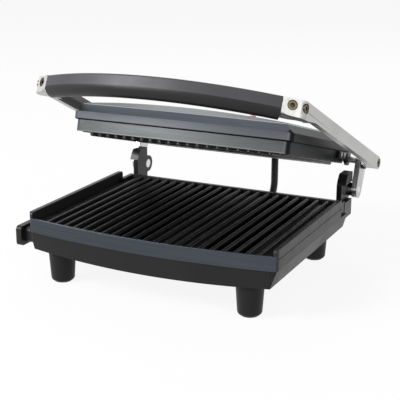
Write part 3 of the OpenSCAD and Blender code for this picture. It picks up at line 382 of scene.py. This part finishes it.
def new_piece(name, mesh, finish):
    """A mesh of the scene's own, linked into the scene."""
    piece = bpy.data.objects.new(name, mesh)
    bpy.context.scene.collection.objects.link(piece)
    mesh.materials.append(finish.material)
    for polygon in mesh.polygons:
        polygon.use_smooth = True
    return piece


# ---------------------------------------------------------------- operators

class PRESS_OT_base(bpy.types.Operator):
    """Base: moulded housing, painted frame, brushed strip and sheet-metal bottom"""

    bl_idname = "press.base"
    bl_label = "Base"

    def execute(self, context):
        c, s = colours(), sizes()
        housing = moulded_plastic("housing_plastic", c.housing, 0.40)
        housing.stripe(0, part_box("base_housing")[1].x - 0.0062, 0.0005, (0.002, 0.002, 0.002))
        finish_all(["base_housing"], housing, s.fine_edge)
        finish_all(["base_frame"], satin_paint("frame_paint", c.frame, 0.36), s.metal_edge)
        finish_all(["front_trim"], brushed_metal("trim_metal", c.trim, 0.42, (14, 14, 1900), shade=0.18),
                   s.metal_edge)
        finish_all(["bottom_plate"], satin_paint("bottom_paint", c.frame, 0.5), s.fine_edge)
        return {"FINISHED"}


def bow_radius(half_width, depth):
    """Radius of an arc that is 2 * half_width wide and rises by depth."""
    return (half_width ** 2 + depth ** 2) / (2 * depth)


class PRESS_OT_plates(bpy.types.Operator):
    """Cooking plates with their black coating"""

    bl_idname = "press.plates"
    bl_label = "Cooking plates"

    def execute(self, context):
        c, s = colours(), sizes()
        for tilt, node in ((0.0, "lower_plate"), (TILT, "upper_plate")):
            coat = Finish(f"{node}_coating", c.coating, 0.36).gloss(0.22)
            coat.clouds(25.0, 0.5).rough_clouds(80.0, 0.06).grain(1500.0, 0.00005, 0.4)
            speck = coat.noise(2400.0, 1.0)
            coat.mix(coat.spread(speck, 0.0, 0.35, 0.66, 0.72), (0.05, 0.05, 0.055))
            # Here the edge colour is real wear of the coating on the rib tops.
            coat.edge_wear_and_painted_light((0.035, 0.035, 0.037), 0.5, 0.52, 0.62)
            # Painted shade in the creases at the ribs' roots.
            coat.shaded_creases(0.5)
            # Painted highlights at the ribs' front ends.
            coat.mix(self.rib_end_glints(coat, node, tilt), (0.42, 0.43, 0.45))
            finish_all([node], coat, s.metal_edge)
        return {"FINISHED"}

    def rib_end_glints(self, coat, node, tilt):
        """Painted highlights at the ends of the ribs, along the bowed front of a plate."""
        if tilt:
            radius = bow_radius(*UPPER_BOW)
            centre = UPPER_CORNER_Y - UPPER_BOW[1] + radius
            level = coat.between(coat.coordinate(2, tilt), LIP_LOW - 0.0020, LIP_LOW + 0.001)
            half_pitch_off = coat.math("ADD", coat.coordinate(0), UPPER_RIB_PITCH / 2)
            rib = coat.repeat(half_pitch_off, UPPER_RIB_PITCH, 0.0011)
        else:
            low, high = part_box(node)
            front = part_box("front_trim")[0].y
            radius = bow_radius(*LOWER_BOW)
            centre = front + radius
            radius += front - low.y
            level = coat.between(coat.coordinate(2), high.z - 0.0030, high.z + 0.001)
            rib = coat.repeat(coat.coordinate(0), LOWER_RIB_PITCH, 0.0016)
        return coat.math("MULTIPLY", coat.math("MULTIPLY", level, rib),
                         coat.beyond(centre, radius - 0.0016, 0.0006, tilt))


class PRESS_OT_feet(bpy.types.Operator):
    """Feet and their rubber pads"""

    bl_idname = "press.feet"
    bl_label = "Feet"

    def execute(self, context):
        c, s = colours(), sizes()
        foot = moulded_plastic("foot_plastic", tuple(v * 0.8 for v in c.housing), 0.45)
        nodes = [f"foot_{end}_{side}" for end in ("front", "back") for side in SIDES]
        finish_all(nodes, foot, s.metal_edge)
        rubber = Finish("pad_rubber", (0.012, 0.012, 0.012), 0.75)
        rubber.clouds(40.0, 0.3).grain(1400.0, 0.00008)
        finish_all(["foot_pads"], rubber, s.fine_edge)
        return {"FINISHED"}


class PRESS_OT_tray(bpy.types.Operator):
    """Drip tray that slides out at the left"""

    bl_idname = "press.tray"
    bl_label = "Drip tray"

    def execute(self, context):
        c, s = colours(), sizes()
        finish_all(["drip_tray"], moulded_plastic("tray_plastic", tuple(v * 1.3 for v in c.housing), 0.38),
                   s.moulded_edge, 3)
        return {"FINISHED"}


class PRESS_OT_hinge(bpy.types.Operator):
    """Posts, links, pins, spacers and bushes"""

    bl_idname = "press.hinge"
    bl_label = "Hinge"

    def execute(self, context):
        c, s = colours(), sizes()
        post = satin_paint("post_paint", tuple(v * 0.45 for v in c.frame), 0.32)
        finish_all([f"post_{side}" for side in SIDES], post, s.moulded_edge, 3)
        link = brushed_metal("link_metal", (0.58, 0.59, 0.58), 0.2, (700, 60, 12), shade=0.3)
        link.close_shade((0.06, 0.06, 0.065), 0.006)
        finish_all([f"link_{side}" for side in SIDES], link, s.moulded_edge, 3)
        chrome = Finish("hinge_chrome", (0.66, 0.66, 0.69), 0.07, 1.0)
        chrome.rough_clouds(60.0, 0.03).grain(300.0, 0.00001, 0.3)
        chrome.close_shade((0.03, 0.03, 0.04), 0.005, 0.9)
        finish_all([f"hinge_spacer_{side}" for side in SIDES], chrome, s.fine_edge)
        finish_all([f"hinge_pin_{side}" for side in SIDES], chrome, s.fine_edge)
        shaft = satin_metal("shaft_metal", (0.30, 0.30, 0.31), 0.28)
        finish_all([f"shaft_{side}" for side in SIDES], shaft, s.fine_edge)
        bush = moulded_plastic("bush_plastic", (0.014, 0.014, 0.016), 0.4)
        finish_all([f"pivot_bush_{side}" for side in SIDES], bush, s.fine_edge)
        bracket = satin_paint("bracket_paint", c.frame)
        finish_all([f"lid_bracket_{side}" for side in SIDES], bracket, s.fine_edge)
        return {"FINISHED"}


class PRESS_OT_lid(bpy.types.Operator):
    """Lid: brushed cover and skirt, bright top panel"""

    bl_idname = "press.lid"
    bl_label = "Lid"

    def execute(self, context):
        c, s = colours(), sizes()
        side = tuple(v * 0.12 for v in c.lid)
        cover = brushed_metal("cover_metal", c.lid, 0.38, (14, 500, 1700), shade=0.12)
        height = cover.coordinate(2, TILT)
        cover.mix(cover.spread(cover.between(height, FLANGE_LOW - 0.01, FLANGE_TOP), 0.0, 0.5, 0.0, 1.0),
                  (0.175, 0.180, 0.190))
        cover.mix(cover.between(height, FLANGE_LOW - 0.002, FLANGE_LOW + 0.0006), (0.02, 0.02, 0.022))
        # Side faces darker: partly a darker finish on the sides, partly painted shade.
        cover.mix(cover.facing(0), side)
        # Painted highlight: the cover's top ring next to the panel is lighter.
        cover.mix(cover.between(height, CROWN_LOW - 0.0008, 1.0), (0.33, 0.35, 0.36))
        finish_all(["lid_cover"], cover, s.moulded_edge, 3)
        skirt = brushed_metal("skirt_metal", (0.140, 0.150, 0.150), 0.40, (14, 500, 1700), shade=0.16)
        height = skirt.coordinate(2, TILT)
        skirt.mix(skirt.spread(skirt.between(height, -1.0, LIP_LOW + 0.0012), 0.0, 0.5, 0.0, 1.0),
                  (0.30, 0.31, 0.31))
        # Side faces darker: partly a darker finish on the sides, partly painted shade.
        skirt.mix(skirt.facing(0), side)
        finish_all(["lid_frame", "skirt_trim"], skirt, s.metal_edge)
        panel = brushed_metal("panel_metal", c.panel, 0.38, (900, 10, 700), 0.000003, 0.10)
        panel.mix(panel.facing(1, 0.5, 0.7), (0.40, 0.41, 0.42))
        finish_all(["top_panel"], panel, s.metal_edge)
        # Painted shade: the reflector's edge in the seam between skirt and cover is made near-black.
        seam_shade = Finish("seam_sheet", (0.006, 0.006, 0.0065), 0.6).gloss(0.1)
        seam_shade.clouds(20.0, 0.5).grain(900.0, 0.00004)
        finish_all(["upper_reflector"], seam_shade)
        return {"FINISHED"}


class PRESS_OT_arms(bpy.types.Operator):
    """Arms with their end blocks, and the grip between them"""

    bl_idname = "press.arms"
    bl_label = "Arms and grip"

    def execute(self, context):
        c, s = colours(), sizes()
        for side, inward in zip(SIDES, (1, -1)):
            cast = satin_metal(f"arm_metal_{side}", c.arms, 0.34)
            cast.set("Metallic", 0.55)
            # Painted shade: the faces that look inward, towards the grip, are darker.
            cast.mix(cast.facing(0, 0.5, 0.75, inward), (0.10, 0.10, 0.10))
            # Painted dark reflection along the arms' sharp edges, where the bevels mirror dark surroundings.
            cast.edge_wear_and_painted_light((0.10, 0.10, 0.10), 0.7, 0.60, 0.68)
            cast.close_shade((0.035, 0.030, 0.025), 0.0035)
            finish_all([f"arm_{side}"], cast, s.moulded_edge, 3)
        grip = moulded_plastic("grip_plastic", c.grip, 0.42, 0.28)
        # Painted shade: the grip's rounded underside, below GRIP_BELLY, is darker.
        shaded_belly = grip.spread(grip.coordinate(2, TILT + ARM_LIFT), 1.0, 0.0, GRIP_BELLY - 0.0006, GRIP_BELLY)
        grip.mix(shaded_belly, tuple(v * 0.3 for v in c.grip))
        finish_all(["handle_grip"], grip, s.metal_edge, 2)
        finish_all(["handle_core"], satin_metal("core_metal", (0.4, 0.4, 0.4), 0.4))
        return {"FINISHED"}


class PRESS_OT_fixings(bpy.types.Operator):
    """Socket bolts and small screws"""

    bl_idname = "press.fixings"
    bl_label = "Fixings"

    def execute(self, context):
        c, s = colours(), sizes()
        bolt = satin_metal("bolt_metal", c.bolts, 0.3)
        bolt.close_shade((0.005, 0.004, 0.003), 0.005, 0.97)
        finish_all(["front_bolts", "side_bolts", "shaft_bolts"], bolt, s.fine_edge)
        screws = satin_metal("screw_zinc", (0.5, 0.5, 0.49), 0.35)
        # Painted shade in the screws' recesses.
        screws.shaded_creases(0.7)
        finish_all(["foot_screws", "housing_screws", "post_screws", "lid_screws"], screws, s.fine_edge)
        return {"FINISHED"}


class PRESS_OT_lamp(bpy.types.Operator):
    """Lamp in the top panel"""

    bl_idname = "press.lamp"
    bl_label = "Lamp"

    def execute(self, context):
        c = colours()
        lens = Finish("lamp_lens", c.lamp, 0.12)
        lens.clouds(300.0, 0.3).grain(500.0, 0.00004, 0.3)
        lens.set("Coat Weight", 0.6)
        lens.set("Emission Color", (*c.lamp, 1.0))
        lens.set("Emission Strength", 0.15)
        finish_all(["lamp_lens"], lens, sizes().fine_edge)
        holder = moulded_plastic("holder_plastic", (0.6, 0.58, 0.52), 0.5)
        finish_all(["lamp_holder"], holder)
        return {"FINISHED"}


class PRESS_OT_lead(bpy.types.Operator):
    """Sheathed lead from the base to the lid, with its bushes"""

    bl_idname = "press.lead"
    bl_label = "Lead"

    def execute(self, context):
        low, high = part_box("lid_lead")
        radius = (high.x - low.x) / 2
        centre_x = (high.x + low.x) / 2
        level = low.z + radius
        bend = min(high.z - level, LEAD_BEND)
        path = []
        start = Vector((centre_x, low.y, level))
        corner = Vector((centre_x, high.y - radius - bend, level))
        steps = 60
        for i in range(steps):
            path.append(start.lerp(corner, i / steps))
        arc = 70
        for i in range(arc):
            a = math.pi / 2 * i / arc
            path.append(corner + Vector((0, bend * math.sin(a), bend * (1 - math.cos(a)))))
        foot = corner + Vector((0, bend, bend))
        top = Vector((centre_x, foot.y, high.z))
        rise = 130
        for i in range(rise + 1):
            path.append(foot.lerp(top, i / rise))
        mesh = ribbed_tube(path, radius, sizes().sheath_rib, SHEATH_PITCH)
        rubber = Finish("sheath_rubber", (0.012, 0.012, 0.013), 0.5)
        rubber.clouds(30.0, 0.4).grain(1200.0, 0.00004)
        piece = new_piece("sheathed_lead", mesh, rubber)
        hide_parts("lid_lead")
        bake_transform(piece)
        bushes = Finish("bush_rubber", (0.014, 0.014, 0.015), 0.6)
        bushes.clouds(30.0, 0.3).grain(1000.0, 0.00005)
        finish_all(["cord_bush", "lead_bush_base", "lead_bush_lid"], bushes, sizes().fine_edge)
        return {"FINISHED"}


def ribbed_tube(path, radius, rib, pitch):
    """Closed tube along path, with rings of that height and pitch round it."""
    sides = 28
    built = bmesh.new()
    rings = []
    run = 0.0
    for i, point in enumerate(path):
        ahead = path[min(i + 1, len(path) - 1)] - path[max(i - 1, 0)]
        along = ahead.normalized()
        across = Vector((1, 0, 0))
        up = along.cross(across).normalized()
        if i:
            run += (point - path[i - 1]).length
        r = radius - rib * (0.5 + 0.5 * math.cos(2 * math.pi * run / pitch))
        rings.append([built.verts.new(point + (across * math.cos(a) + up * math.sin(a)) * r)
                      for a in (2 * math.pi * k / sides for k in range(sides))])
    for one, two in zip(rings, rings[1:]):
        for k in range(sides):
            built.faces.new((one[k], one[(k + 1) % sides], two[(k + 1) % sides], two[k]))
    built.faces.new(rings[0])
    built.faces.new(list(reversed(rings[-1])))
    bmesh.ops.recalc_face_normals(built, faces=built.faces)
    mesh = bpy.data.meshes.new("sheathed_lead")
    built.to_mesh(mesh)
    built.free()
    return mesh


class PRESS_OT_inside(bpy.types.Operator):
    """Heating parts inside the base and the lid"""

    bl_idname = "press.inside"
    bl_label = "Inside"

    def execute(self, context):
        element = satin_metal("element_metal", (0.26, 0.22, 0.18), 0.5)
        finish_all(["lower_element", "upper_element"], element)
        shield = satin_metal("shield_metal", (0.7, 0.71, 0.72), 0.25)
        finish_all(["lower_reflector"], shield)
        ceramic = Finish("ceramic", (0.62, 0.56, 0.42), 0.3)
        ceramic.clouds(60.0, 0.15).grain(700.0, 0.00003)
        finish_all(["thermostat", "thermal_fuse", "upper_cutout"], ceramic, sizes().fine_edge)
        block = moulded_plastic("terminal_plastic", (0.66, 0.64, 0.57), 0.5)
        finish_all(["terminal_block"], block, sizes().fine_edge)
        return {"FINISHED"}


class PRESS_OT_stage(bpy.types.Operator):
    """Floor, soft lights, world and camera"""

    bl_idname = "press.stage"
    bl_label = "Stage"

    def execute(self, context):
        scene = context.scene
        scene.view_settings.view_transform = "Standard"
        floor_mesh = bpy.data.meshes.new("floor")
        corners = [(x * FLOOR_HALF, y * FLOOR_HALF, 0) for x, y in ((-1, -1), (1, -1), (1, 1), (-1, 1))]
        floor_mesh.from_pydata(corners, [], [(0, 1, 2, 3)])
        floor = bpy.data.objects.new("floor", floor_mesh)
        scene.collection.objects.link(floor)
        floor_mesh.materials.append(floor_material())
        white_world(scene)
        area_light("key_light", (-1.2, -1.5, 1.35), (0, -0.05, 0.12), 0.9, 46.0)
        area_light("fill_light", (1.5, -0.9, 0.9), (0, 0, 0.12), 1.0, 6.0)
        area_light("back_light", (-0.3, 1.5, 1.4), (0, 0, 0.15), 1.0, 9.0)
        place_camera(scene)
        return {"FINISHED"}


def place_camera(scene):
    """Camera in front of the press and a little above it."""
    lens = bpy.data.cameras.new("camera")
    camera = bpy.data.objects.new("camera", lens)
    scene.collection.objects.link(camera)
    lens.sensor_width = 36.0
    lens.lens = 93.3
    lens.shift_x = 0.021
    lens.clip_end = 30.0
    azimuth, elevation, away = math.radians(26.26), math.radians(16.42), 1.218
    aim = HINGE + Vector((0.0051, -0.1597, 0.0086))
    aim.x -= HINGE.x
    look = Vector((-math.sin(azimuth) * math.cos(elevation), math.cos(azimuth) * math.cos(elevation),
                   -math.sin(elevation)))
    camera.location = aim - look * away
    camera.rotation_euler = look.to_track_quat("-Z", "Y").to_euler()
    scene.camera = camera


def seen_directly(tree):
    """1 for the camera, reflections and what shows through; 0 for light that only bounces."""
    path = tree.nodes.new("ShaderNodeLightPath")
    seen = path.outputs["Is Camera Ray"]
    for ray in ("Is Glossy Ray", "Is Transmission Ray"):
        either = tree.nodes.new("ShaderNodeMath")
        either.operation = "MAXIMUM"
        tree.links.new(seen, either.inputs[0])
        tree.links.new(path.outputs[ray], either.inputs[1])
        seen = either.outputs[0]
    return seen


def floor_material():
    """Pale floor: white to the camera and in reflections, with the press's soft shadow."""
    material = bpy.data.materials.new("floor_white")
    material.use_nodes = True
    tree = material.node_tree
    tree.nodes.clear()
    out = tree.nodes.new("ShaderNodeOutputMaterial")
    plain = tree.nodes.new("ShaderNodeBsdfDiffuse")
    tone = tree.nodes.new("ShaderNodeMapRange")
    tone.inputs["To Min"].default_value = 0.32
    tone.inputs["To Max"].default_value = 1.0
    glow = tree.nodes.new("ShaderNodeEmission")
    glow.inputs["Color"].default_value = (1, 1, 1, 1)
    glow.inputs["Strength"].default_value = 1.0
    seen = seen_directly(tree)
    share = tree.nodes.new("ShaderNodeMath")
    share.operation = "MULTIPLY"
    share.inputs[1].default_value = 0.90
    tree.links.new(seen, share.inputs[0])
    tree.links.new(seen, tone.inputs["Value"])
    tree.links.new(tone.outputs[0], plain.inputs["Color"])
    mix = tree.nodes.new("ShaderNodeMixShader")
    tree.links.new(share.outputs[0], mix.inputs[0])
    tree.links.new(plain.outputs[0], mix.inputs[1])
    tree.links.new(glow.outputs[0], mix.inputs[2])
    tree.links.new(mix.outputs[0], out.inputs[0])
    return material


def white_world(scene):
    """World that looks white and lights the press softly."""
    world = scene.world or bpy.data.worlds.new("studio")
    scene.world = world
    world.use_nodes = True
    tree = world.node_tree
    back = tree.nodes["Background"]
    level = tree.nodes.new("ShaderNodeMapRange")
    level.inputs["To Min"].default_value = 0.30
    level.inputs["To Max"].default_value = 1.0
    tree.links.new(seen_directly(tree), level.inputs["Value"])
    tree.links.new(level.outputs[0], back.inputs["Strength"])
    back.inputs["Color"].default_value = (1, 1, 1, 1)


def area_light(name, place, aim, size, power):
    """Square light at place, turned to aim, with its power in watts."""
    light = bpy.data.lights.new(name, "AREA")
    light.energy = power
    light.size = size
    lamp = bpy.data.objects.new(name, light)
    lamp.location = place
    lamp.rotation_euler = (Vector(aim) - Vector(place)).to_track_quat("-Z", "Y").to_euler()
    bpy.context.scene.collection.objects.link(lamp)


OPERATORS = (PRESS_OT_stage, PRESS_OT_base, PRESS_OT_plates, PRESS_OT_feet, PRESS_OT_tray, PRESS_OT_hinge,
             PRESS_OT_lid, PRESS_OT_arms, PRESS_OT_fixings, PRESS_OT_lamp, PRESS_OT_lead, PRESS_OT_inside)


class PRESS_PT_panel(bpy.types.Panel):
    """Lists the steps in order"""

    bl_idname = "PRESS_PT_panel"
    bl_label = "Panini press"
    bl_space_type = "VIEW_3D"
    bl_region_type = "UI"
    bl_category = "Press"

    def draw(self, context):
        for operator in OPERATORS:
            self.layout.operator(operator.bl_idname)
        for group in (context.scene.press_colours, context.scene.press_sizes):
            box = self.layout.box()
            for key in group.__annotations__:
                box.prop(group, key)


CLASSES = (PressColours, PressSizes, *OPERATORS, PRESS_PT_panel)


def register():
    for cls in CLASSES:
        bpy.utils.register_class(cls)
    bpy.types.Scene.press_colours = PointerProperty(type=PressColours)
    bpy.types.Scene.press_sizes = PointerProperty(type=PressSizes)


def unregister():
    del bpy.types.Scene.press_sizes
    del bpy.types.Scene.press_colours
    for cls in reversed(CLASSES):
        bpy.utils.unregister_class(cls)


def main():
    register()
    for operator in OPERATORS:
        step = operator.bl_idname.split(".")[1]
        getattr(bpy.ops.press, step)()


if __name__ == "__main__":
    main()
